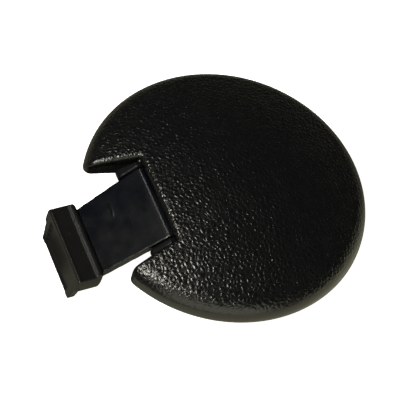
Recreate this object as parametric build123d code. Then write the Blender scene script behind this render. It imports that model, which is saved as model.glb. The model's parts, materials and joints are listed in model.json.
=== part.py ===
from build123d import *
import os
from math import atan2, cos, degrees, radians, sin, tan

# Desk grommet cap: a domed cover with a flared notch, and a sprung anchor tongue
# that folds down through the hole in the worktop and hooks under the board.
# Frame: +Z is the axis of the cap, the origin is the centre of the rim plane,
# and the tongue points along -X. Everything is symmetric about the XZ plane.

# Cover
CAP_R = 30.0            # radius at the rim
CAP_RISE = 8.4          # height of the dome over the rim plane
RIM_CURVE = 4.5         # the dome turns down to the rim with this radius
CROWN_R = ((CAP_R - RIM_CURVE) ** 2 + CAP_RISE**2 - RIM_CURVE**2) / (2 * (CAP_RISE - RIM_CURVE))
WALL = 1.6              # moulded wall
NOTCH_X = -16.1         # inner end of the notch
NOTCH_HALF = 10.1       # half width at that end
NOTCH_FLARE = 13.0      # each side wall opens by this angle, degrees
TIP_R = 1.6             # rounding of the two lobe tips, seen from above
EDGE_R = 0.9            # rounding of the notch's upper edge

# Hinge and tongue
HINGE_X = -16.05
HINGE_Z = 2.2
BARREL_R = 2.35         # also the distance from the hinge axis to the tongue's top
SLOPE = 37.2            # the tongue's fall below the rim plane at rest, degrees
TONGUE_T = 1.7
ROOT_HALF = 8.5         # half width at the barrel
END_HALF = 7.75         # half width where the tongue meets the block
REACH = 14.95           # hinge axis to block, along the tongue
PIN_R = 0.75
PIN_PLAY = 0.05         # radial, in the barrel only
SIDE_GAP = 0.2          # between the tongue and each cheek

# Torsion spring on the hinge pin
WIRE_R = 0.25
SPRING_R = 1.35         # mean radius of the coil
SPRING_PITCH = 0.62
SPRING_TURNS = 6
SPRING_HALF = 2.5       # half width of the pocket for it in the barrel

# Frame under the cover
PLATE_R = 24.6
PLATE_Z = 1.6           # underside of the plate
PLATE_T = 1.6
CHEEK_OUT_X = -20.6     # outer end of the cheeks
CHEEK_TOP = 4.45
WEB_X = -13.25          # near face of the cross web
WEB_T = 1.3
SCREW_RING = 19.0
SCREW_ANGLES = (0, 112, -112)

# Anchor block at the tongue's end
BLOCK_OUT_X = -35.1     # outer face at its top
BLOCK_LEAN = 1.05       # the outer face leans out by this much at its foot
BLOCK_TOP = -4.35
BLOCK_FOOT = -12.8
BAR_FOOT = -8.2         # underside of the thick upper bar
FLANGE_T = 1.6
BAR_HALF = 9.2
FIT = 0.1               # gap around the tongue's end inside the block


def notch_outline(grow=0.0, end=NOTCH_X):
    """The flared notch seen from above, grown sideways by grow."""
    far = -CAP_R - 6
    half_in = NOTCH_HALF + grow + (NOTCH_X - end) * tan(radians(NOTCH_FLARE))
    half_out = NOTCH_HALF + grow + (NOTCH_X - far) * tan(radians(NOTCH_FLARE))
    return Polygon((end, half_in), (far, half_out), (far, -half_out), (end, -half_in), align=None)


def tongue_point(along, above):
    """A point in the XZ plane, measured from the hinge axis along and above the tongue."""
    c, s = cos(radians(SLOPE)), sin(radians(SLOPE))
    return (HINGE_X - along * c - above * s, HINGE_Z - along * s + above * c)


def side_solid(points, half):
    """A side outline given in XZ, extruded to both sides of the middle."""
    face = make_face(Polyline(*points, close=True))
    return extrude(Plane.XZ * face, half, both=True)


def y_cylinder(radius, half, x=HINGE_X, z=HINGE_Z):
    """A cylinder along Y, centred on the middle."""
    return Pos(x, 0, z) * Rot(90, 0, 0) * Cylinder(radius, 2 * half)


def dome(inset=0.0):
    """The domed body of the cap: a shallow crown turning down into a tight rim curve."""
    rim_x = CAP_R - RIM_CURVE
    crown_z = CAP_RISE - CROWN_R
    lean = degrees(atan2(-crown_z, rim_x))
    rim = CenterArc((rim_x, 0), RIM_CURVE - inset, 0, lean)
    crown = CenterArc((0, crown_z), CROWN_R - inset, lean, 90 - lean)
    foot = Line((0, 0), (CAP_R - inset, 0))
    face = make_face([foot, rim, crown, Line((0, CAP_RISE - inset), (0, 0))])
    return revolve(Plane.XZ * face, Axis.Z)


def screw_places():
    return [(SCREW_RING * cos(radians(a)), SCREW_RING * sin(radians(a))) for a in SCREW_ANGLES]


def cap_outline():
    """The cap seen from above, a hair over its true radius, with the lobe tips rounded."""
    plan = Circle(CAP_R + 0.05) - notch_outline()
    tips = plan.vertices().sort_by(Axis.X)[:2]
    return fillet(tips, TIP_R)


def cap_shell():
    body = dome() & extrude(cap_outline(), CAP_RISE)
    top = [e for e in body.edges() if e.center().Z > 1 and e.center().X < NOTCH_X + 1]
    upright = body.edges().filter_by(Axis.Z)
    body = fillet([e for e in top if e not in upright], EDGE_R)
    room = dome(WALL) - extrude(notch_outline(WALL, NOTCH_X + WALL), CAP_RISE)
    doorway = dome(WALL) & Pos(NOTCH_X, 0, 0) * Box(2 * WALL + 1, 2 * NOTCH_HALF, 2 * CAP_RISE)
    body = body - (room + doorway)
    for x, y in screw_places():
        foot = PLATE_Z + PLATE_T
        boss = Pos(x, y, foot) * Cylinder(2.5, CAP_RISE, align=(Align.CENTER, Align.CENTER, Align.MIN))
        body = body + (boss & dome(0.5 * WALL))
    for x, y in screw_places():
        foot = PLATE_Z + PLATE_T
        body = body - Pos(x, y, foot) * Cylinder(1.02, 4.0)
    return body


def inner_frame():
    plate = extrude(Circle(PLATE_R) - notch_outline(WALL + 0.3, WEB_X), PLATE_T)
    frame = Pos(0, 0, PLATE_Z) * plate
    top_x = HINGE_X - (BARREL_R / sin(radians(SLOPE))) + (CHEEK_TOP - HINGE_Z) / tan(radians(SLOPE))
    out_z = CHEEK_TOP + (CHEEK_OUT_X - top_x) * tan(radians(SLOPE))
    inner_x = WEB_X + WEB_T
    side = [(CHEEK_OUT_X, 0.2), (CHEEK_OUT_X, out_z), (top_x, CHEEK_TOP), (inner_x, CHEEK_TOP), (inner_x, 0.2)]
    cheeks = side_solid(side, 2 * NOTCH_HALF)
    between = extrude(notch_outline(-0.2, NOTCH_X) + Pos(-14, 0) * Rectangle(6, 2 * NOTCH_HALF - 0.4), CAP_RISE)
    cheeks = (cheeks & between) - Box(60, 2 * (ROOT_HALF + SIDE_GAP), 40)
    web_h = CHEEK_TOP - PLATE_Z
    web = Pos(inner_x - WEB_T / 2, 0, PLATE_Z + web_h / 2) * Box(WEB_T, 2 * NOTCH_HALF - 0.4, web_h)
    frame = frame + cheeks + web - y_cylinder(PIN_R, NOTCH_HALF)
    for x, y in screw_places():
        frame = frame - Pos(x, y, PLATE_Z) * Cylinder(1.25, 8)
    return frame


def tongue_side(grow=0.0):
    """The tongue's end and pad seen from the side, with room grow around them."""
    top, under = BARREL_R + grow, BARREL_R - TONGUE_T - grow
    pad_top, pad_under = BAR_FOOT + 1.5 + grow, BAR_FOOT - grow
    pad_x = -33.6 - grow
    c, s, t = cos(radians(SLOPE)), sin(radians(SLOPE)), tan(radians(SLOPE))
    bend_top = HINGE_X - top / s + (pad_top - HINGE_Z) / t
    bend_under = HINGE_X - under / s + (pad_under - HINGE_Z) / t
    return [
        tongue_point(0, top),
        (bend_top, pad_top),
        (pad_x, pad_top),
        (pad_x, pad_under),
        (bend_under, pad_under),
        tongue_point(0, under),
    ]


def pad_screw_places():
    return [(-32.4, -4.2), (-32.4, 4.2)]


def tongue():
    body = side_solid(tongue_side(), ROOT_HALF) + y_cylinder(BARREL_R, ROOT_HALF)
    end_x = tongue_point(REACH, BARREL_R)[0]
    plan = Polygon(
        (HINGE_X + 5, ROOT_HALF), (HINGE_X - 2, ROOT_HALF), (end_x, END_HALF), (-40, END_HALF),
        (-40, -END_HALF), (end_x, -END_HALF), (HINGE_X - 2, -ROOT_HALF), (HINGE_X + 5, -ROOT_HALF),
        align=None,
    )
    body = body & Pos(0, 0, -30) * extrude(plan, 60)
    body = body - y_cylinder(PIN_R + PIN_PLAY, CAP_R)
    pocket = [tongue_point(-9, 0.3), tongue_point(4, 0.3), tongue_point(4, -9), tongue_point(-9, -9)]
    body = body - y_cylinder(SPRING_R + WIRE_R + 0.2, SPRING_HALF) - side_solid(pocket, SPRING_HALF)
    for x, y in pad_screw_places():
        body = body - Pos(x, y, BAR_FOOT) * Cylinder(0.95, 6)
    return body


def anchor_block():
    foot_x = BLOCK_OUT_X - BLOCK_LEAN
    root_x, root_z = tongue_point(REACH, BARREL_R)
    side = [
        (root_x, root_z),
        (root_x - 0.25, root_z + 0.62),
        (root_x - 0.75, root_z + 0.95),
        (root_x - 1.35, root_z + 0.82),
        (root_x - 1.95, BLOCK_TOP - 0.05),
        (BLOCK_OUT_X + 0.9, BLOCK_TOP - 0.05),
        (BLOCK_OUT_X + 0.4, BLOCK_TOP + 0.1),
        (BLOCK_OUT_X, BLOCK_TOP - 0.1),
        (foot_x, BLOCK_FOOT),
        (foot_x + FLANGE_T, BLOCK_FOOT),
        (BLOCK_OUT_X + FLANGE_T - 0.4, BAR_FOOT),
        (root_x - 1.6, BAR_FOOT),
        (root_x - 0.7, root_z - 1.8),
    ]
    body = side_solid(side, 12)
    front = [
        (8.8, BLOCK_TOP + 2), (8.8, BLOCK_TOP), (BAR_HALF - 0.1, BLOCK_TOP - 0.4), (BAR_HALF, BLOCK_TOP - 1.4),
        (BAR_HALF, BAR_FOOT + 0.6), (BAR_HALF - 0.5, BAR_FOOT), (8.4, BAR_FOOT - 0.02), (7.35, BLOCK_FOOT - 1),
    ]
    front = front + [(-y, z) for y, z in reversed(front)]
    body = body & Pos(-45, 0, 0) * extrude(Plane.YZ * make_face(Polyline(*front, close=True)), 30)
    plan = Pos((foot_x - 0.2 + root_x) / 2, 0) * RectangleRounded(root_x - foot_x + 0.2, 2 * BAR_HALF, 1.7)
    body = body & Pos(0, 0, -30) * extrude(plan, 60)
    body = body - (side_solid(tongue_side(FIT), END_HALF + FIT))
    lean = (BLOCK_LEAN / (BLOCK_TOP - BLOCK_FOOT))
    recess_top = BLOCK_TOP - 1.5
    recess = [
        (BLOCK_OUT_X - lean * 1.5 - 2, recess_top),
        (BLOCK_OUT_X - lean * 1.5 + 0.3, recess_top),
        (foot_x + 0.3, BLOCK_FOOT),
        (foot_x - 2, BLOCK_FOOT - 1),
    ]
    opening = [(6.9, recess_top + 1), (5.9, BLOCK_FOOT - 1), (-5.9, BLOCK_FOOT - 1), (-6.9, recess_top + 1)]
    panel = Pos(-45, 0, 0) * extrude(Plane.YZ * make_face(Polyline(*opening, close=True)), 30)
    body = body - (side_solid(recess, 12) & panel)
    for x, y in pad_screw_places():
        body = body - Pos(x, y, BAR_FOOT) * Cylinder(0.72, 6.4)
    return body


def hinge_pin():
    pin = y_cylinder(PIN_R, NOTCH_HALF - 0.3)
    return chamfer(pin.edges().filter_by(GeomType.CIRCLE), 0.15)


def torsion_spring():
    """A coil on the pin; one leg pushes the tongue up, the other bears under the plate."""
    tongue_leg, frame_leg = -67.9, -85.0
    turns = SPRING_TURNS + (frame_leg - tongue_leg) / 360
    length = SPRING_PITCH * turns
    coil = Helix(SPRING_PITCH, length, SPRING_R)
    start = Line(coil @ 0 - (coil % 0) * 6.6, coil @ 0)
    finish = Line(coil @ 1, coil @ 1 + (coil % 1) * 5.4)
    path = Wire([start, coil, finish])
    spring = sweep(Plane(path @ 0, z_dir=path % 0) * Circle(WIRE_R), path)
    return Pos(HINGE_X, length / 2, HINGE_Z) * Rot(90, 0, 0) * Rot(0, 0, tongue_leg) * spring


def screw(head_r, head_h, shank_r, shank_l):
    """A pan-head screw standing on its head, with a cross recess under it."""
    up = (Align.CENTER, Align.CENTER, Align.MIN)
    head = Cylinder(head_r, head_h, align=up)
    head = fillet(head.edges().sort_by(Axis.Z)[0], 0.35 * head_h)
    body = head + Pos(0, 0, head_h) * Cylinder(shank_r, shank_l, align=up)
    slot = Box(1.5 * head_r * 0.8, 0.3 * head_r, head_h * 0.9)
    return body - slot - Rot(0, 0, 90) * slot


def frame_screws():
    return [Pos(x, y, PLATE_Z - 1.2) * screw(2.0, 1.2, 1.0, 3.4) for x, y in screw_places()]


def block_screws():
    return [Pos(x, y, BAR_FOOT - 0.8) * screw(1.5, 0.8, 0.7, 2.8) for x, y in pad_screw_places()]


os.makedirs("parts", exist_ok=True)
export_step(cap_shell(), "parts/cap_shell.step")
export_step(inner_frame(), "parts/inner_frame.step")
export_step(tongue(), "parts/tongue.step")
export_step(anchor_block(), "parts/anchor_block.step")
export_step(hinge_pin(), "parts/hinge_pin.step")
export_step(torsion_spring(), "parts/torsion_spring.step")
export_step(Compound(children=frame_screws()), "parts/frame_screws.step")
export_step(Compound(children=block_screws()), "parts/block_screws.step")
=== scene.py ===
# %% [markdown]
# # Desk grommet cap: the looks
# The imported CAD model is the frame. This script dresses it: a grained cover with real relief,
# softened mouldings, steel parts, a pale floor and soft studio light. The object's own frame is
# used: +Z is the cap's axis. Named sizes of the object are in mm, and meshes, lights and the
# camera are placed in metres.

# %% Load the frame
import json
import math

import bmesh
import bpy
from mathutils import Matrix, Vector, geometry


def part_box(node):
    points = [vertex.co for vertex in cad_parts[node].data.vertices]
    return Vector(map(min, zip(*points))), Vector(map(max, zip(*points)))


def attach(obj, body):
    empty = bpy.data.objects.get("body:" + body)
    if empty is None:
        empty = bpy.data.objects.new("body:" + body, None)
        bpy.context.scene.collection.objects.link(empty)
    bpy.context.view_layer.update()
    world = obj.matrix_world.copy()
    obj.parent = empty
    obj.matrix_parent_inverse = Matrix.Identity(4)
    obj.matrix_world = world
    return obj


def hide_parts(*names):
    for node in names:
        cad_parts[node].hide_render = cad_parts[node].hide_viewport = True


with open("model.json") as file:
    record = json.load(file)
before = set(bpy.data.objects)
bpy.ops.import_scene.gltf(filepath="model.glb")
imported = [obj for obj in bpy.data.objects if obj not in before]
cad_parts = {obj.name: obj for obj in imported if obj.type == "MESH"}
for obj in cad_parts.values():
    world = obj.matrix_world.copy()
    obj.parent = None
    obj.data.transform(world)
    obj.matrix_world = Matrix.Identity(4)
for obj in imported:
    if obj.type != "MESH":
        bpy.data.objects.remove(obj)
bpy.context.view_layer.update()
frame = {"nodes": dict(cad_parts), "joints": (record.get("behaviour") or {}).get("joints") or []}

nodes = frame["nodes"]

# %% [markdown]
# ## Sizes
# The cap's radius, its rise and the hinge come from the frame. The rest are in mm and repeat
# what the CAD part is made of.

# %% Sizes
MM = 0.001
CAP_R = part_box("cap_shell")[1].y / MM
CAP_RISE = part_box("cap_shell")[1].z / MM
HINGE = Vector(frame["joints"][0]["pos_m"]) / MM
RIM_CURVE = 4.5
CROWN_R = ((CAP_R - RIM_CURVE) ** 2 + CAP_RISE**2 - RIM_CURVE**2) / (2 * (CAP_RISE - RIM_CURVE))
WALL = 1.6
NOTCH_X, NOTCH_HALF, NOTCH_FLARE = -16.1, 10.1, math.radians(13)
TIP_R = 1.6
EDGE_R, EDGE_RINGS = 0.9, 6
SLOPE = math.radians(37.2)
GRID = 0.24
print("cap radius", round(CAP_R, 2), "rise", round(CAP_RISE, 2))

# %% [markdown]
# ## Small helpers for node trees
# One call adds a node, sets its properties, and fills or links its inputs.

# %% Node helpers
def add(tree, kind, inputs=None, **props):
    """Adds a node; a value in inputs is a socket to link from or a constant to set."""
    made = tree.nodes.new(kind)
    for key, value in props.items():
        setattr(made, key, value)
    for key, value in (inputs or {}).items():
        if isinstance(value, bpy.types.NodeSocket):
            tree.links.new(value, made.inputs[key])
        else:
            made.inputs[key].default_value = value
    return made


def new_tree(name, kind, inputs, outputs):
    """A node group with named sockets; inputs and outputs are (name, socket type, default)."""
    tree = bpy.data.node_groups.new(name, kind)
    for where, rows in (("INPUT", inputs), ("OUTPUT", outputs)):
        for label, socket, value in rows:
            made = tree.interface.new_socket(label, in_out=where, socket_type=socket)
            if value is not None:
                made.default_value = value
    return tree, tree.nodes.new("NodeGroupInput").outputs, tree.nodes.new("NodeGroupOutput").inputs


def math_node(tree, operation, *values, clamp=False):
    inputs = dict(enumerate(values))
    return add(tree, "ShaderNodeMath", inputs, operation=operation, use_clamp=clamp).outputs[0]


def smooth_step(tree, value, low, high, to_low=0.0, to_high=1.0):
    ramp = {"Value": value, "From Min": low, "From Max": high, "To Min": to_low, "To Max": to_high}
    return add(tree, "ShaderNodeMapRange", ramp, interpolation_type="SMOOTHSTEP").outputs[0]


FLOAT, VECTOR = "NodeSocketFloat", "NodeSocketVector"

# %% [markdown]
# ## Leather grain, shared by relief and colour
# The same rule makes the real relief in Geometry Nodes and the fine creases in the shader:
# positions in mm are warped a little, then a cell pattern gives pebbles with creases between.

# %% The grain rule
CELL_MM, WARP, SEED = 0.92, 0.8, 3.0


def grain_rule(tree, place, cell, warp, seed):
    """Pebbles at place (metres): height 0..1, a colour for each cell, and the warped place in mm."""
    scaled = add(tree, "ShaderNodeVectorMath", {0: place, "Scale": 1000.0}, operation="SCALE").outputs[0]
    mm = add(tree, "ShaderNodeVectorMath", {0: scaled, 1: seed}, operation="ADD").outputs[0]
    drift = add(tree, "ShaderNodeTexNoise", {"Vector": mm, "Scale": 0.85, "Detail": 2.0}).outputs["Color"]
    middle = (0.5, 0.5, 0.5)
    centred = add(tree, "ShaderNodeVectorMath", {0: drift, 1: middle}, operation="SUBTRACT").outputs[0]
    shift = add(tree, "ShaderNodeVectorMath", {0: centred, "Scale": warp}, operation="SCALE").outputs[0]
    moved = add(tree, "ShaderNodeVectorMath", {0: mm, 1: shift}, operation="ADD").outputs[0]
    scale = math_node(tree, "DIVIDE", 1.0, cell)
    edge = add(tree, "ShaderNodeTexVoronoi", {"Vector": moved, "Scale": scale}, feature="DISTANCE_TO_EDGE")
    cells = add(tree, "ShaderNodeTexVoronoi", {"Vector": moved, "Scale": scale}, feature="F1")
    height = smooth_step(tree, edge.outputs["Distance"], 0.0, 0.34)
    return height, cells.outputs["Color"], moved


# %% [markdown]
# ## Shader groups
# Four groups are built once and placed in the materials: the leather grain, the faint waviness
# of a smooth moulding, the dust and handling that gathers on everything, and drawn metal.

# %% Leather grain group
def grain_group():
    inputs = [
        ("Cell MM", FLOAT, CELL_MM), ("Warp", FLOAT, WARP),
        ("Fine Depth", FLOAT, 0.3), ("Seed", FLOAT, SEED),
    ]
    outputs = [("Height", FLOAT, None), ("Crease", FLOAT, None), ("Tint", FLOAT, None)]
    tree, given, result = new_tree("Leather grain", "ShaderNodeTree", inputs, outputs)
    place = add(tree, "ShaderNodeTexCoord").outputs["Object"]
    height, cells, moved = grain_rule(tree, place, given["Cell MM"], given["Warp"], given["Seed"])
    fine = add(tree, "ShaderNodeTexVoronoi", {"Vector": moved, "Scale": 2.6}, feature="DISTANCE_TO_EDGE")
    fine_height = smooth_step(tree, fine.outputs["Distance"], 0.0, 0.3)
    pores = add(tree, "ShaderNodeTexNoise", {"Vector": moved, "Scale": 7.0, "Detail": 3.0}).outputs["Fac"]
    small = math_node(tree, "MULTIPLY", math_node(tree, "ADD", fine_height, pores), given["Fine Depth"])
    tree.links.new(math_node(tree, "ADD", height, small), result["Height"])
    tree.links.new(math_node(tree, "SUBTRACT", 1.0, height, clamp=True), result["Crease"])
    value = add(tree, "ShaderNodeSeparateColor", {"Color": cells}).outputs[0]
    tree.links.new(value, result["Tint"])
    return tree


# %% [markdown]
# The smooth mouldings are never quite flat: a slow wave, a fine skin, a haze in the gloss, and
# a random mottle, with a painted sheen that can make the colour lighter toward one side of the part.

# %% Moulded plastic group
def moulded_group():
    inputs = [("Wave MM", FLOAT, 6.0), ("Haze", FLOAT, 0.5), ("Fade per MM", FLOAT, 0.0)]
    outputs = [("Height", FLOAT, None), ("Roughness Shift", FLOAT, None), ("Mottle and Painted Sheen", FLOAT, None)]
    tree, given, result = new_tree("Smooth moulding", "ShaderNodeTree", inputs, outputs)
    place = add(tree, "ShaderNodeTexCoord").outputs["Object"]
    mm = add(tree, "ShaderNodeVectorMath", {0: place, "Scale": 1000.0}, operation="SCALE").outputs[0]
    scale = math_node(tree, "DIVIDE", 1.0, given["Wave MM"])
    wave = add(tree, "ShaderNodeTexNoise", {"Vector": mm, "Scale": scale, "Detail": 1.5}).outputs["Fac"]
    skin = add(tree, "ShaderNodeTexNoise", {"Vector": mm, "Scale": 9.0, "Detail": 4.0}).outputs["Fac"]
    tree.links.new(math_node(tree, "MULTIPLY_ADD", skin, 0.02, wave), result["Height"])
    haze = add(tree, "ShaderNodeTexNoise", {"Vector": mm, "Scale": 0.35, "Detail": 5.0}).outputs["Fac"]
    shift = math_node(tree, "MULTIPLY", math_node(tree, "SUBTRACT", haze, 0.5), given["Haze"])
    tree.links.new(shift, result["Roughness Shift"])
    # painted sheen: the colour grows lighter or darker along y
    across = add(tree, "ShaderNodeSeparateXYZ", {0: mm}).outputs[1]
    faint = math_node(tree, "MULTIPLY", haze, 0.6)
    mottle_and_sheen = math_node(tree, "MULTIPLY_ADD", across, given["Fade per MM"], faint)
    tree.links.new(smooth_step(tree, mottle_and_sheen, 0.0, 0.6), result["Mottle and Painted Sheen"])
    return tree


# %% [markdown]
# Dust lies on what faces up: in the creases in patches, and as a few single specks.

# %% Dust and handling group
def dust_group():
    inputs = [("Amount", FLOAT, 0.5), ("Crease", FLOAT, 0.0)]
    outputs = [("Dust", FLOAT, None), ("Smear", FLOAT, None)]
    tree, given, result = new_tree("Dust and handling", "ShaderNodeTree", inputs, outputs)
    place = add(tree, "ShaderNodeTexCoord").outputs["Object"]
    mm = add(tree, "ShaderNodeVectorMath", {0: place, "Scale": 1000.0}, operation="SCALE").outputs[0]
    normal = add(tree, "ShaderNodeNewGeometry").outputs["Normal"]
    up = add(tree, "ShaderNodeSeparateXYZ", {0: normal}).outputs[2]
    lying = smooth_step(tree, up, 0.1, 1.0)
    patch = add(tree, "ShaderNodeTexNoise", {"Vector": mm, "Scale": 0.22, "Detail": 4.0}).outputs["Fac"]
    specks = add(tree, "ShaderNodeTexVoronoi", {"Vector": mm, "Scale": 0.55}, feature="F1")
    grains = smooth_step(tree, specks.outputs["Distance"], 0.05, 0.09, 1.0, 0.0)
    laid = math_node(tree, "MULTIPLY", smooth_step(tree, patch, 0.45, 0.8), given["Crease"])
    both = math_node(tree, "MAXIMUM", math_node(tree, "MULTIPLY", laid, 0.6), grains)
    dust = math_node(tree, "MULTIPLY", math_node(tree, "MULTIPLY", both, lying), given["Amount"])
    tree.links.new(dust, result["Dust"])
    tree.links.new(smooth_step(tree, patch, 0.5, 0.75), result["Smear"])
    return tree


# %% [markdown]
# Drawn metal has fine lines along the way it was drawn, and small spots of tarnish.

# %% Drawn metal group
def metal_group():
    inputs = [("Line MM", FLOAT, 0.08), ("Stretch", VECTOR, (1.0, 0.05, 1.0))]
    outputs = [("Lines", FLOAT, None), ("Tarnish", FLOAT, None)]
    tree, given, result = new_tree("Drawn metal", "ShaderNodeTree", inputs, outputs)
    place = add(tree, "ShaderNodeTexCoord").outputs["Object"]
    mm = add(tree, "ShaderNodeVectorMath", {0: place, "Scale": 1000.0}, operation="SCALE").outputs[0]
    drawn = add(tree, "ShaderNodeVectorMath", {0: mm, 1: given["Stretch"]}, operation="MULTIPLY").outputs[0]
    scale = math_node(tree, "DIVIDE", 1.0, given["Line MM"])
    lines = add(tree, "ShaderNodeTexNoise", {"Vector": drawn, "Scale": scale, "Detail": 2.0}).outputs["Fac"]
    tree.links.new(lines, result["Lines"])
    spots = add(tree, "ShaderNodeTexNoise", {"Vector": mm, "Scale": 1.2, "Detail": 4.0}).outputs["Fac"]
    tree.links.new(smooth_step(tree, spots, 0.5, 0.72), result["Tarnish"])
    return tree


groups = {"grain": grain_group(), "moulded": moulded_group(), "dust": dust_group(), "metal": metal_group()}
print("shader groups:", [g.name for g in groups.values()])

# %% [markdown]
# ## Materials
# Each material keeps its own Principled shader; the groups only supply colours, masks and heights.

# %% Material helpers
def place_group(tree, key, **values):
    made = tree.nodes.new("ShaderNodeGroup")
    made.node_tree = groups[key]
    for label, value in values.items():
        socket = made.inputs[label.replace("_", " ")]
        if isinstance(value, bpy.types.NodeSocket):
            tree.links.new(value, socket)
        else:
            socket.default_value = value
    return made.outputs


def start_material(name):
    material = bpy.data.materials.new(name)
    material.use_nodes = True
    tree = material.node_tree
    return material, tree, tree.nodes["Principled BSDF"]


def mix_color(tree, factor, first, second):
    made = add(tree, "ShaderNodeMix", data_type="RGBA")
    for key, value in ((0, factor), (6, first), (7, second)):
        if isinstance(value, bpy.types.NodeSocket):
            tree.links.new(value, made.inputs[key])
        else:
            made.inputs[key].default_value = value
    return made.outputs[2]


def bump(tree, shader, height, depth_mm):
    made = add(tree, "ShaderNodeBump", {"Height": height, "Distance": depth_mm * MM, "Strength": 1.0})
    tree.links.new(made.outputs[0], shader.inputs["Normal"])


DUST = (0.03, 0.03, 0.027, 1.0)
print("dust colour:", DUST)

# %% [markdown]
# The cover is a dark plastic with the grain; the frame, tongue and block are smooth mouldings
# that differ in colour and gloss.

# %% Plastic materials
def grained_plastic():
    material, tree, shader = start_material("grained black plastic")
    mask = add(tree, "ShaderNodeAttribute", attribute_name="grain").outputs["Fac"]
    grain = place_group(tree, "grain", Fine_Depth=0.22)
    crease = math_node(tree, "MULTIPLY", grain["Crease"], mask)
    dust = place_group(tree, "dust", Amount=0.12, Crease=crease)
    base = mix_color(tree, grain["Tint"], (0.0026, 0.0027, 0.0028, 1), (0.0034, 0.0035, 0.0036, 1))
    tree.links.new(mix_color(tree, dust["Dust"], base, DUST), shader.inputs["Base Color"])
    rough = math_node(tree, "MULTIPLY_ADD", crease, 0.08, 0.22)
    smeared = math_node(tree, "MULTIPLY_ADD", dust["Smear"], 0.03, rough)
    tree.links.new(smeared, shader.inputs["Roughness"])
    bump(tree, shader, math_node(tree, "MULTIPLY", grain["Height"], mask), 0.05)
    return material


def smooth_plastic(name, dark, light, rough, gloss, wave_mm, wave_depth, painted_sheen=0.0):
    material, tree, shader = start_material(name)
    shader.inputs["Specular IOR Level"].default_value = gloss
    skin = place_group(tree, "moulded", Wave_MM=wave_mm, Haze=0.12, Fade_per_MM=painted_sheen)
    dust = place_group(tree, "dust", Amount=0.3, Crease=0.0)
    # the mottle holds a random tone and, where set, a painted sheen
    base = mix_color(tree, skin["Mottle and Painted Sheen"], dark, light)
    tree.links.new(mix_color(tree, dust["Dust"], base, DUST), shader.inputs["Base Color"])
    tree.links.new(math_node(tree, "ADD", skin["Roughness Shift"], rough), shader.inputs["Roughness"])
    bump(tree, shader, skin["Height"], wave_depth)
    return material


# %% [markdown]
# The pin, spring and screws are steel, each with its own brightness and drawing direction.

# %% Metal materials
def steel(name, light, dark, rough, stretch):
    material, tree, shader = start_material(name)
    drawn = place_group(tree, "metal", Stretch=stretch)
    tree.links.new(mix_color(tree, drawn["Tarnish"], light, dark), shader.inputs["Base Color"])
    shader.inputs["Metallic"].default_value = 1.0
    tree.links.new(math_node(tree, "MULTIPLY_ADD", drawn["Lines"], 0.25, rough), shader.inputs["Roughness"])
    bump(tree, shader, drawn["Lines"], 0.004)
    return material


looks = {
    "cap": grained_plastic(),
    "frame": smooth_plastic(
        "frame plastic", (0.003, 0.0035, 0.004, 1), (0.004, 0.0047, 0.0053, 1),
        rough=0.3, gloss=0.12, wave_mm=5.0, wave_depth=0.03,
    ),
    "tongue": smooth_plastic(
        "tongue plastic", (0.0006, 0.001, 0.0028, 1), (0.0034, 0.0038, 0.0048, 1),
        # the tongue's painted sheen makes its colour lighter toward -Y, the near side
        rough=0.22, gloss=0.4, wave_mm=7.0, wave_depth=0.04, painted_sheen=-0.035,
    ),
    "block": smooth_plastic(
        "block plastic", (0.0056, 0.0056, 0.0055, 1), (0.0074, 0.0073, 0.007, 1),
        rough=0.25, gloss=0.3, wave_mm=3.0, wave_depth=0.03,
    ),
    "pin": steel("ground steel", (0.56, 0.56, 0.58, 1), (0.36, 0.35, 0.34, 1), 0.18, (1.0, 0.05, 1.0)),
    "spring": steel("spring wire", (0.4, 0.4, 0.42, 1), (0.2, 0.19, 0.18, 1), 0.24, (1.0, 1.0, 1.0)),
    "screws": steel("zinc plate", (0.6, 0.6, 0.58, 1), (0.4, 0.37, 0.3, 1), 0.3, (1.0, 1.0, 0.2)),
}
print("materials:", sorted(looks))


def dress(node_name, look):
    mesh = nodes[node_name].data
    for i in range(len(mesh.materials)):
        mesh.materials[i] = looks[look]


for node_name, look in (
    ("inner_frame", "frame"), ("tongue", "tongue"), ("anchor_block", "block"), ("hinge_pin", "pin"),
    ("torsion_spring", "spring"), ("frame_screws", "screws"), ("block_screws", "screws"),
):
    dress(node_name, look)

# %% [markdown]
# ## The cover's plan outline
# Half of the outline is sampled from the middle of the notch's inner end, out along the side
# wall, round the lobe tip and along the rim; the other half is its mirror image. Each point
# keeps its inward direction and the radius of the rounded upper edge there.

# %% Outline of the cover
def dome_z(r, inset=0.0):
    """Height of the dome, or of the surface inset under it, at radius r (mm)."""
    rim_x, crown_z = CAP_R - RIM_CURVE, CAP_RISE - CROWN_R
    turn = rim_x * (CROWN_R - inset) / (CROWN_R - RIM_CURVE)
    if r <= turn:
        return crown_z + math.sqrt((CROWN_R - inset) ** 2 - r * r)
    return math.sqrt(max(0.0, (RIM_CURVE - inset) ** 2 - (r - rim_x) ** 2))


def steps(length, size):
    return max(1, round(length / size))


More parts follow.
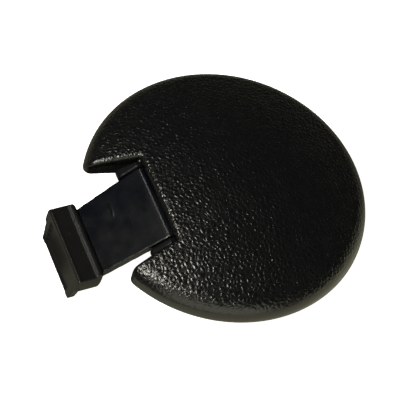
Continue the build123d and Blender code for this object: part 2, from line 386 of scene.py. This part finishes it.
def half_outline(step):
    """(point, inward direction, edge radius) for y >= 0, in order from the notch to the rim."""
    along = Vector((-math.cos(NOTCH_FLARE), math.sin(NOTCH_FLARE)))
    out = Vector((math.sin(NOTCH_FLARE), math.cos(NOTCH_FLARE)))
    corner = Vector((NOTCH_X, NOTCH_HALF))
    base = corner + out * TIP_R
    b = base.dot(along)
    reach = -b + math.sqrt(b * b - base.length_squared + (CAP_R - TIP_R) ** 2)
    centre = base + along * reach
    rows = []
    count = steps(NOTCH_HALF, step)
    rows += [(Vector((NOTCH_X, NOTCH_HALF * i / count)), Vector((1, 0)), EDGE_R) for i in range(count)]
    mitre = (Vector((1, 0)) + out) / (1 + out.x)
    rows.append((corner, mitre, EDGE_R))
    count = steps(reach, step)
    rows += [(corner + along * reach * i / count, out, EDGE_R) for i in range(1, count)]
    first, last = math.atan2(-out.y, -out.x) + 2 * math.pi, math.atan2(centre.y, centre.x)
    count = steps((first - last) * TIP_R, step)
    for i in range(count):
        angle = first + (last - first) * i / count
        way = Vector((math.cos(angle), math.sin(angle)))
        point = centre + way * TIP_R
        rows.append((point, -way, min(EDGE_R, 0.5 * dome_z(min(point.length, CAP_R)))))
    count = steps(last * CAP_R, step)
    for i in range(count + 1):
        angle = last * (1 - i / count)
        way = Vector((math.cos(angle), math.sin(angle)))
        rows.append((way * CAP_R, -way, 0.0))
    return rows


def full_outline(step):
    upper = half_outline(step)
    flip = Vector((1, -1))
    lower = [(p * flip, n * flip, e) for p, n, e in upper[1:-1]]
    return upper + lower[::-1]


outline = full_outline(GRID)
print("outline points:", len(outline))

# %% [markdown]
# ## The cover's outer skin
# The dome is unrolled along its profile, filled with an even triangular grid inside the
# outline, and rolled back up. Rings of points then go round the notch's edge and down its walls.

# %% Unrolling the dome
LEAN = math.atan2(CROWN_R - CAP_RISE, CAP_R - RIM_CURVE)


def unroll(p, inset=0.0):
    """Plan point to a flat point whose distance from the middle is the length along the dome."""
    crown, rim, r = CROWN_R - inset, RIM_CURVE - inset, p.length
    if r < 1e-9:
        return Vector((0, 0))
    if r <= crown * math.cos(LEAN):
        return p * (crown * math.asin(r / crown) / r)
    turned = LEAN - math.acos(min(1.0, (r - CAP_R + RIM_CURVE) / rim))
    return p * ((crown * (math.pi / 2 - LEAN) + rim * turned) / r)


def roll(q, inset=0.0):
    """The reverse: a flat point to its place on the dome."""
    crown, rim, s = CROWN_R - inset, RIM_CURVE - inset, q.length
    crown_arc = crown * (math.pi / 2 - LEAN)
    if s <= crown_arc:
        r, z = crown * math.sin(s / crown), CAP_RISE - CROWN_R + crown * math.cos(s / crown)
    else:
        angle = LEAN - (s - crown_arc) / rim
        r, z = CAP_R - RIM_CURVE + rim * math.cos(angle), rim * math.sin(angle)
    return Vector((q.x * r / s, q.y * r / s, z)) if s > 1e-9 else Vector((0, 0, z))


def fill_flat(loop, step):
    """Triangles over the area inside loop, on an even grid: flat points and faces."""
    count = len(loop)
    low = Vector((min(p.x for p in loop), min(p.y for p in loop)))
    high = Vector((max(p.x for p in loop), max(p.y for p in loop)))
    points = list(loop)
    row, y = 0, low.y
    while y < high.y:
        x = low.x + (step / 2 if row % 2 else 0)
        crossings = sorted(cross_x(loop, y))
        while x < high.x:
            if any(a + 0.6 * step < x < b - 0.6 * step for a, b in zip(crossings[::2], crossings[1::2])):
                points.append(Vector((x, y)))
            x += step
        y += step * math.sqrt(3) / 2
        row += 1
    edges = [(i, (i + 1) % count) for i in range(count)]
    flat, _, faces, _, _, _ = geometry.delaunay_2d_cdt(points, edges, [], 1, 1e-5)
    return flat, faces


def cross_x(loop, y):
    """Where the loop crosses the level y."""
    found = []
    for a, b in zip(loop, loop[1:] + loop[:1]):
        if (a.y > y) != (b.y > y):
            found.append(a.x + (y - a.y) * (b.x - a.x) / (b.y - a.y))
    return found


print("length along the dome to the rim:", round(unroll(Vector((CAP_R, 0))).length, 2), "mm")

# %% [markdown]
# The skin is laid in rings: the dome first, then the rounded edge round the notch.

# %% Building the skin
def stitch(bm, above, below):
    count = len(above)
    for i in range(count):
        j = (i + 1) % count
        bm.faces.new((above[i], below[i], below[j], above[j]))


def ring(bm, places):
    return [bm.verts.new(Vector(place) * MM) for place in places]


def fill_dome(bm, loop, step, inset=0.0):
    """Fills the dome inside a loop of plan points; returns the loop's own points."""
    flat, faces = fill_flat([unroll(p, inset) for p in loop], step)
    verts = ring(bm, [roll(q, inset) for q in flat])
    for face in faces:
        bm.faces.new([verts[i] for i in face])
    return verts[: len(loop)]


def outer_skin(bm):
    """Dome and rounded notch edge; returns the lowest ring of the edge."""
    above = fill_dome(bm, [p + n * e for p, n, e in outline], GRID)
    for k in range(1, EDGE_RINGS + 1):
        turn = math.pi / 2 * k / EDGE_RINGS
        places = []
        for p, n, e in outline:
            q = p + n * (e * (1 - math.sin(turn)))
            places.append((q.x, q.y, dome_z(min(q.length, CAP_R)) - e * (1 - math.cos(turn))))
        below = ring(bm, places)
        stitch(bm, above, below)
        above = below
    return above


# %% [markdown]
# ## The cover's walls and underside
# The notch's side walls and the rim go down to the rim plane. At the notch's inner end the wall
# stops at the lip, and the tongue passes under it. The underside is the dome set in by the wall.

# %% Walls and underside
def under_skin(bm, above):
    at_lip = [abs(p.y) <= NOTCH_HALF + 1e-6 and abs(p.x - NOTCH_X) < 1e-6 for p, n, e in outline]
    foot, inner, roof = [], [], []
    for (p, n, e), lip in zip(outline, at_lip):
        q = p + n * WALL
        top = dome_z(min(q.length, CAP_R - WALL), WALL)
        foot.append((p.x, p.y, dome_z(p.length, WALL) if lip else 0.0))
        inner.append((q.x, q.y, top if lip else 0.0))
        roof.append(q)
    for places in (foot, inner):
        below = ring(bm, places)
        stitch(bm, above, below)
        above = below
    stitch(bm, above, fill_dome(bm, roof, 4 * GRID, WALL))


def boss(bm, x, y, foot, radius, count=40):
    """A closed cylinder whose top ends inside the dome's wall."""
    top = dome_z(math.hypot(x, y), WALL) + 0.5 * WALL
    round_way = [2 * math.pi * i / count for i in range(count)]
    rings = []
    for r, z in ((radius - 0.2, foot), (radius, foot + 0.2), (radius, top)):
        rings.append(ring(bm, [(x + r * math.cos(a), y + r * math.sin(a), z) for a in round_way]))
    for above, below in zip(rings, rings[1:]):
        stitch(bm, above, below)
    bm.faces.new(rings[0])
    bm.faces.new(rings[-1])


def screw_axes(node_name):
    """The middle of each screw in a node, in mm, from its separate islands."""
    mesh = bmesh.new()
    mesh.from_mesh(nodes[node_name].data)
    bmesh.ops.remove_doubles(mesh, verts=mesh.verts, dist=1e-7)
    left, found = set(mesh.verts), []
    while left:
        island, edge = set(), [left.pop()]
        while edge:
            v = edge.pop()
            island.add(v)
            near = {e.other_vert(v) for e in v.link_edges} & left
            left -= near
            edge += near
        box = [[f(v.co[i] for v in island) for f in (min, max)] for i in range(3)]
        found.append(Vector([(low + high) / 2 for low, high in box]) / MM)
    mesh.free()
    return found


cover = bmesh.new()
under_skin(cover, outer_skin(cover))
BOSS_R, BOSS_FOOT = 2.5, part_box("inner_frame")[0].z / MM + 3.0
axes = screw_axes("frame_screws")
for axis in axes:
    boss(cover, axis.x, axis.y, BOSS_FOOT, BOSS_R)
print("cover points:", len(cover.verts), "bosses:", [tuple(round(c, 1) for c in a) for a in axes])


# %% [markdown]
# Doubled points are merged to close the seams, and the open edges are counted.

# %% Turning a bmesh into an object
def to_object(bm, name, material, merge_mm=0.01):
    bmesh.ops.remove_doubles(bm, verts=bm.verts, dist=merge_mm * MM)
    loose = [f for f in bm.faces if f.calc_area() < 1e-14]
    bmesh.ops.delete(bm, geom=loose, context="FACES_ONLY")
    bmesh.ops.recalc_face_normals(bm, faces=bm.faces)
    for face in bm.faces:
        face.smooth = True
    mesh = bpy.data.meshes.new(name)
    bm.to_mesh(mesh)
    bm.free()
    mesh.materials.append(material)
    made = bpy.data.objects.new(name, mesh)
    bpy.context.scene.collection.objects.link(made)
    return made


def open_edges(obj):
    bm = bmesh.new()
    bm.from_mesh(obj.data)
    count = sum(1 for e in bm.edges if len(e.link_faces) != 2)
    bm.free()
    return count


cover_piece = to_object(cover, "grained_cover", looks["cap"])
print("cover faces:", len(cover_piece.data.polygons), "open edges:", open_edges(cover_piece))

# %% [markdown]
# ## Where the grain is
# The whole dome is grained. The grain fades out round the notch's edge and down the last few
# millimetres to the rim, and the walls and the underside are smooth.

# %% Grain mask
def ramp(value, low, high):
    t = min(1.0, max(0.0, (value - low) / (high - low)))
    return t * t * (3 - 2 * t)


def grain_amount(co, normal):
    x, y, z = co.x / MM, co.y / MM, co.z / MM
    skirt = ramp(z, 1.0, 5.0)
    facing_out = normal.z > 0.2 or math.hypot(x, y) > CAP_R - 3.5
    outer = z > dome_z(min(math.hypot(x, y), CAP_R)) - 0.5 * EDGE_R
    return skirt if facing_out and outer else 0.0


mask = cover_piece.data.attributes.new("grain", "FLOAT", "POINT")
normals = [v.normal.copy() for v in cover_piece.data.vertices]
mask.data.foreach_set("value", [grain_amount(v.co, n) for v, n in zip(cover_piece.data.vertices, normals)])
print("grained points:", sum(1 for d in mask.data if d.value > 0.5))


# %% [markdown]
# ## Relief in Geometry Nodes
# The tree pushes the creases in along the surface normal, so the relief is real and the
# pebbles' tops stay on the CAD surface. Its inputs are named, and the seed is fixed.

# %% Leather relief tree
def relief_tree():
    inputs = [
        ("Geometry", "NodeSocketGeometry", None), ("Cell MM", FLOAT, CELL_MM), ("Warp", FLOAT, WARP),
        ("Depth MM", FLOAT, 0.06), ("Seed", FLOAT, SEED), ("Material", "NodeSocketMaterial", None),
    ]
    outputs = [("Geometry", "NodeSocketGeometry", None)]
    tree, given, result = new_tree("Leather relief", "GeometryNodeTree", inputs, outputs)
    place = add(tree, "GeometryNodeInputPosition").outputs[0]
    height, _, _ = grain_rule(tree, place, given["Cell MM"], given["Warp"], given["Seed"])
    amount = add(tree, "GeometryNodeInputNamedAttribute", {"Name": "grain"}, data_type="FLOAT")
    down = math_node(tree, "MULTIPLY", math_node(tree, "SUBTRACT", height, 1.0), amount.outputs[0])
    metres = math_node(tree, "MULTIPLY", math_node(tree, "MULTIPLY", down, given["Depth MM"]), MM)
    normal = add(tree, "GeometryNodeInputNormal").outputs[0]
    offset = add(tree, "ShaderNodeVectorMath", {0: normal, "Scale": metres}, operation="SCALE").outputs[0]
    skin = {"Geometry": given["Geometry"], "Offset": offset}
    moved = add(tree, "GeometryNodeSetPosition", skin).outputs[0]
    real = {"Geometry": add(tree, "GeometryNodeRealizeInstances", {"Geometry": moved}).outputs[0]}
    dressed = add(tree, "GeometryNodeSetMaterial", {**real, "Material": given["Material"]}).outputs[0]
    tree.links.new(dressed, result["Geometry"])
    return tree


def grow(obj, tree, **values):
    """Runs a Geometry Nodes tree on an object and keeps the result as a plain mesh."""
    modifier = obj.modifiers.new(tree.name, "NODES")
    modifier.node_group = tree
    given = [item for item in tree.interface.items_tree if item.in_out == "INPUT"]
    sockets = {item.name: item.identifier for item in given}
    for label, value in values.items():
        modifier[sockets[label.replace("_", " ")]] = value
    graph = bpy.context.evaluated_depsgraph_get()
    mesh = bpy.data.meshes.new_from_object(obj.evaluated_get(graph))
    obj.modifiers.clear()
    obj.data = mesh
    return obj


grow(cover_piece, relief_tree(), Depth_MM=0.06, Material=looks["cap"])
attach(cover_piece, "cap")
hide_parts("cap_shell")
print("cover with relief:", len(cover_piece.data.polygons), "faces")

# %% [markdown]
# ## Soft mouldings
# A moulded part has no sharp edges. Each smooth part is rebuilt as one even skin over its CAD
# shape, its edges are rounded by smoothing, and the small marks of the mould are pressed in.

# %% Soft copy of a CAD part
def soft_copy(node_name, voxel_mm, passes, tilt=0.0):
    """One even skin over a CAD part; tilt squares the part up with the skin's grid meanwhile."""
    source = nodes[node_name]
    turn = Matrix.Rotation(tilt, 4, "Y")
    made = bpy.data.objects.new("soft_" + node_name, source.data.copy())
    made.data.transform(turn @ source.matrix_world)
    bpy.context.scene.collection.objects.link(made)
    skin = made.modifiers.new("skin", "REMESH")
    skin.mode, skin.voxel_size = "VOXEL", voxel_mm * MM
    round_off = made.modifiers.new("round off", "SMOOTH")
    round_off.factor, round_off.iterations = 0.5, passes
    graph = bpy.context.evaluated_depsgraph_get()
    made.data = bpy.data.meshes.new_from_object(made.evaluated_get(graph))
    made.modifiers.clear()
    made.data.transform(turn.inverted())
    return made


def press(obj, centre, normal, depth, reach):
    """Moves points within reach of centre along normal; depth gives the mm at an offset from centre."""
    for v in obj.data.vertices:
        offset = v.co / MM - centre
        height = offset.dot(normal)
        offset -= normal * height
        if abs(height) < 0.4 and offset.length < reach and v.normal.dot(normal) > 0.5:
            v.co -= normal * (depth(offset) * MM)


def finish_piece(obj, look, body, node_name):
    obj.data.materials.clear()
    obj.data.materials.append(looks[look])
    obj.data.shade_smooth()
    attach(obj, body)
    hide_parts(node_name)
    print(obj.name, "faces", len(obj.data.polygons), "open edges", open_edges(obj))


# %% [markdown]
# The tongue slopes down and out from the hinge. A small scuff stands on its upper face.

# %% Tongue
BARREL_R = 2.35
tongue_up = Vector((-math.sin(SLOPE), 0, math.cos(SLOPE)))
tongue_out = Vector((-math.cos(SLOPE), 0, -math.sin(SLOPE)))
tongue_soft = soft_copy("tongue", 0.17, 4, SLOPE)
SCUFF_OUT, SCUFF_ASIDE, SCUFF_R, SCUFF_RISE = 11.1, 3.4, 3.0, 0.08
scuff = HINGE + tongue_out * SCUFF_OUT + tongue_up * BARREL_R + Vector((0, SCUFF_ASIDE, 0))


def scuff_depth(offset):
    """A raised crescent on a circle about the scuff's centre, on its root side only."""
    sector = ramp(-offset.dot(tongue_out), 0.88 * SCUFF_R, 0.94 * SCUFF_R)
    return -SCUFF_RISE * sector * ramp(abs(offset.length - SCUFF_R), 0.3, 0.05)


press(tongue_soft, scuff, tongue_up, scuff_depth, SCUFF_R + 0.5)
finish_piece(tongue_soft, "tongue", "tongue", "tongue")

# %% [markdown]
# The block carries a round gate mark on top and a shallow recess in its outer face, which fades
# out toward the foot.

# %% Anchor block
BLOCK_OUT_X, BLOCK_LEAN, BLOCK_TOP, BLOCK_FOOT = -35.1, 1.05, -4.35, -12.8
block_soft = soft_copy("anchor_block", 0.17, 2)
GATE_R, GATE_DEPTH = 0.35, 0.09
gate = Vector((-33.5, 2.2, -4.4))


def gate_depth(offset):
    """A round groove about the gate mark's centre."""
    return GATE_DEPTH * ramp(abs(offset.length - GATE_R), 0.25, 0.0)


press(block_soft, gate, Vector((0, 0, 1)), gate_depth, 2 * GATE_R)
for v in block_soft.data.vertices:
    x, z = v.co.x / MM, v.co.z / MM
    face = BLOCK_OUT_X + BLOCK_LEAN * (z - BLOCK_TOP) / (BLOCK_TOP - BLOCK_FOOT)
    depth = x - face
    if v.normal.x < -0.3 and 0.05 < depth < 0.9 and z < BLOCK_TOP - 1.2:
        sunk = depth + 0.25 * ramp(depth, 0.08, 0.26)
        v.co.x = (face + sunk * (1 - 0.8 * ramp(-z, 11.6, 12.7))) * MM
finish_piece(block_soft, "block", "tongue", "anchor_block")

# %% [markdown]
# The frame's two cheeks show beside the tongue; its plate is out of sight under the cover.

# %% Inner frame
frame_soft = soft_copy("inner_frame", 0.24, 2)
finish_piece(frame_soft, "frame", "cap", "inner_frame")

# %% [markdown]
# ## Floor, light and camera
# The cap lies as it does on a table: on the block's foot and the far rim. So the floor is the
# plane through those two, and the light hangs over that plane.

# %% Floor
heel = Vector((CAP_R * MM, 0, 0))
lowest = max(block_soft.data.vertices, key=lambda v: -v.co.z / (heel.x - v.co.x)).co
foot = Vector((lowest.x, 0, lowest.z))
lean_dir = (heel - foot).normalized()
floor_up = Vector((-lean_dir.z, 0, lean_dir.x))


def flat_sheet(name, centre, across, along, half, material):
    mesh = bpy.data.meshes.new(name)
    signs = ((-1, -1), (1, -1), (1, 1), (-1, 1))
    corners = [centre + across * (half * a) + along * (half * b) for a, b in signs]
    mesh.from_pydata(corners, [], [(0, 1, 2, 3)])
    mesh.materials.append(material)
    made = bpy.data.objects.new(name, mesh)
    bpy.context.scene.collection.objects.link(made)
    return made


def outside(tree, place, centre, half):
    """0 inside an ellipse on the floor, 1 well outside it; centre and half sizes are in mm."""
    middle = (centre[0] * MM, centre[1] * MM, 0)
    offset = add(tree, "ShaderNodeVectorMath", {0: place, 1: middle}, operation="SUBTRACT").outputs[0]
    shrink = (1 / (half[0] * MM), 1 / (half[1] * MM), 0)
    unit = add(tree, "ShaderNodeVectorMath", {0: offset, 1: shrink}, operation="MULTIPLY").outputs[0]
    away = add(tree, "ShaderNodeVectorMath", {0: unit}, operation="LENGTH").outputs["Value"]
    return smooth_step(tree, away, 0.85, 1.15)


# ellipses of painted shadow on the floor: the middle and the half sizes, in mm
PAINTED_SHADOW_UNDER_CAP, PAINTED_SHADOW_UNDER_TONGUE = ((4.5, 4), (23, 24)), ((-25, 4.5), (15, 9))
PAINTED_SHADOW_IN_CAP_FOOTPRINT = ((6, 4), (22, 24))


def floor_material():
    """A pale sheet, evenly bright to the eye, that lights the object softly from the near side by painted
    light: what the object sees of it is brighter near the cap and on the near side, with painted shadow
    under the cap and the tongue.
    """
    material, tree, shader = start_material("pale floor")
    place = add(tree, "ShaderNodeTexCoord").outputs["Object"]
    cloud = add(tree, "ShaderNodeTexNoise", {"Vector": place, "Scale": 4.0, "Detail": 3.0}).outputs["Fac"]
    shade = mix_color(tree, cloud, (0.86, 0.86, 0.85, 1), (0.9, 0.9, 0.9, 1))
    shader.inputs["Roughness"].default_value = 0.7
    shader.inputs["Specular IOR Level"].default_value = 0.2
    reach = add(tree, "ShaderNodeVectorMath", {0: place}, operation="LENGTH").outputs["Value"]
    # painted light: as the object sees it, the floor is brighter near the cap and on the near side
    painted_light_and_shadow = smooth_step(tree, reach, 0.1, 0.6, 1.0, 0.0)
    across = add(tree, "ShaderNodeSeparateXYZ", {0: place}).outputs[1]
    painted_light_and_shadow = math_node(tree, "MULTIPLY", painted_light_and_shadow, smooth_step(tree, across, -0.03, -0.005, 0.8, 0.16))
    # painted shadow: darker under the cap and under the tongue
    for centre, half in (PAINTED_SHADOW_UNDER_CAP, PAINTED_SHADOW_UNDER_TONGUE):
        painted_light_and_shadow = math_node(tree, "MULTIPLY", painted_light_and_shadow, outside(tree, place, centre, half))
    # the painted light and shadow, used for every ray but the camera's
    soft = mix_color(tree, painted_light_and_shadow, (0.02, 0.02, 0.02, 1), (0.95, 0.93, 0.74, 1))
    seen = add(tree, "ShaderNodeLightPath").outputs["Is Camera Ray"]
    tree.links.new(mix_color(tree, seen, soft, shade), shader.inputs["Base Color"])
    # to the eye the floor glows of itself, except in a painted shadow in the cap's footprint
    self_glow_outside_painted_shadow = math_node(tree, "MULTIPLY", seen, outside(tree, place, *PAINTED_SHADOW_IN_CAP_FOOTPRINT))
    tree.links.new(mix_color(tree, self_glow_outside_painted_shadow, (0, 0, 0, 1), (1, 1, 1, 1)), shader.inputs["Emission Color"])
    shader.inputs["Emission Strength"].default_value = 1.0
    from_below = add(tree, "ShaderNodeNewGeometry").outputs["Backfacing"]
    tree.links.new(math_node(tree, "SUBTRACT", 1.0, from_below), shader.inputs["Alpha"])
    return material


print("floor leans", round(math.degrees(math.asin(lean_dir.z)), 1), "degrees")
floor = flat_sheet("floor", foot - floor_up * 0.0001, lean_dir, Vector((0, 1, 0)), 2.0, floor_material())


# %% [markdown]
# A soft key from the notch's side makes the glints, a wide panel low on the near side makes the
# skirt's band, and a small light makes the thin highlight along the block's rib.

# %% Light
def area_light(name, way, distance, width, height, watts, color):
    """A rectangular soft light that looks at the cap from the direction way."""
    data = bpy.data.lights.new(name, "AREA")
    data.shape, data.size, data.size_y, data.energy, data.color = "RECTANGLE", width, height, watts, color
    made = bpy.data.objects.new(name, data)
    direction = Vector(way).normalized()
    made.location = direction * distance
    made.rotation_mode = "QUATERNION"
    made.rotation_quaternion = direction.to_track_quat("Z", "Y")
    bpy.context.scene.collection.objects.link(made)


area_light("key", (-0.63, 0.0, 0.78), 0.7, 0.24, 0.24, 6.0, (1.0, 0.98, 0.87))
area_light("edge light", (-0.33, 0.436, 0.835), 0.7, 0.06, 0.06, 0.14, (1.0, 0.99, 0.94))
area_light("near panel", (-0.35, -0.88, 0.32), 0.8, 1.1, 0.6, 3.0, (1.0, 0.97, 0.78))
world = bpy.data.worlds.new("studio")
bpy.context.scene.world = world
world.use_nodes = True
world.node_tree.nodes["Background"].inputs["Color"].default_value = (0.85, 0.9, 1.0, 1.0)
world.node_tree.nodes["Background"].inputs["Strength"].default_value = 0.03
bpy.context.scene.view_settings.view_transform = "Standard"
print("lights:", [data.name for data in bpy.data.lights])

# %% [markdown]
# The camera stands 300 mm off, high on the near side, turned a little about its own line of
# sight. It aims beside the origin, so that the cap and the tongue are both in the middle.

# %% Camera
AZIMUTH, ELEVATION, ROLL = map(math.radians, (-40.54, 55.03, 20.73))
DISTANCE_MM, LENS = 300.0, 125.1
ORIGIN_RIGHT, ORIGIN_UP = 3.52, 2.89
back = Vector((
    math.sin(AZIMUTH) * math.cos(ELEVATION),
    -math.cos(AZIMUTH) * math.cos(ELEVATION),
    math.sin(ELEVATION),
))
level = Vector((math.cos(AZIMUTH), math.sin(AZIMUTH), 0))
upward = back.cross(level)
right = level * math.cos(ROLL) + upward * math.sin(ROLL)
up = upward * math.cos(ROLL) - level * math.sin(ROLL)
eye = back * DISTANCE_MM * MM
aim = (right * -ORIGIN_RIGHT + up * -ORIGIN_UP) * MM
look = (eye - aim).normalized()
side = (right - look * right.dot(look)).normalized()
camera_data = bpy.data.cameras.new("camera")
camera_data.lens = LENS
camera_data.sensor_width = 36.0
camera_data.clip_start, camera_data.clip_end = 0.01, 20.0
camera = bpy.data.objects.new("camera", camera_data)
camera.matrix_world = Matrix.Translation(eye) @ Matrix((side, look.cross(side), look)).transposed().to_4x4()
bpy.context.scene.collection.objects.link(camera)
bpy.context.scene.camera = camera
print("camera at mm", [round(c / MM, 1) for c in eye])
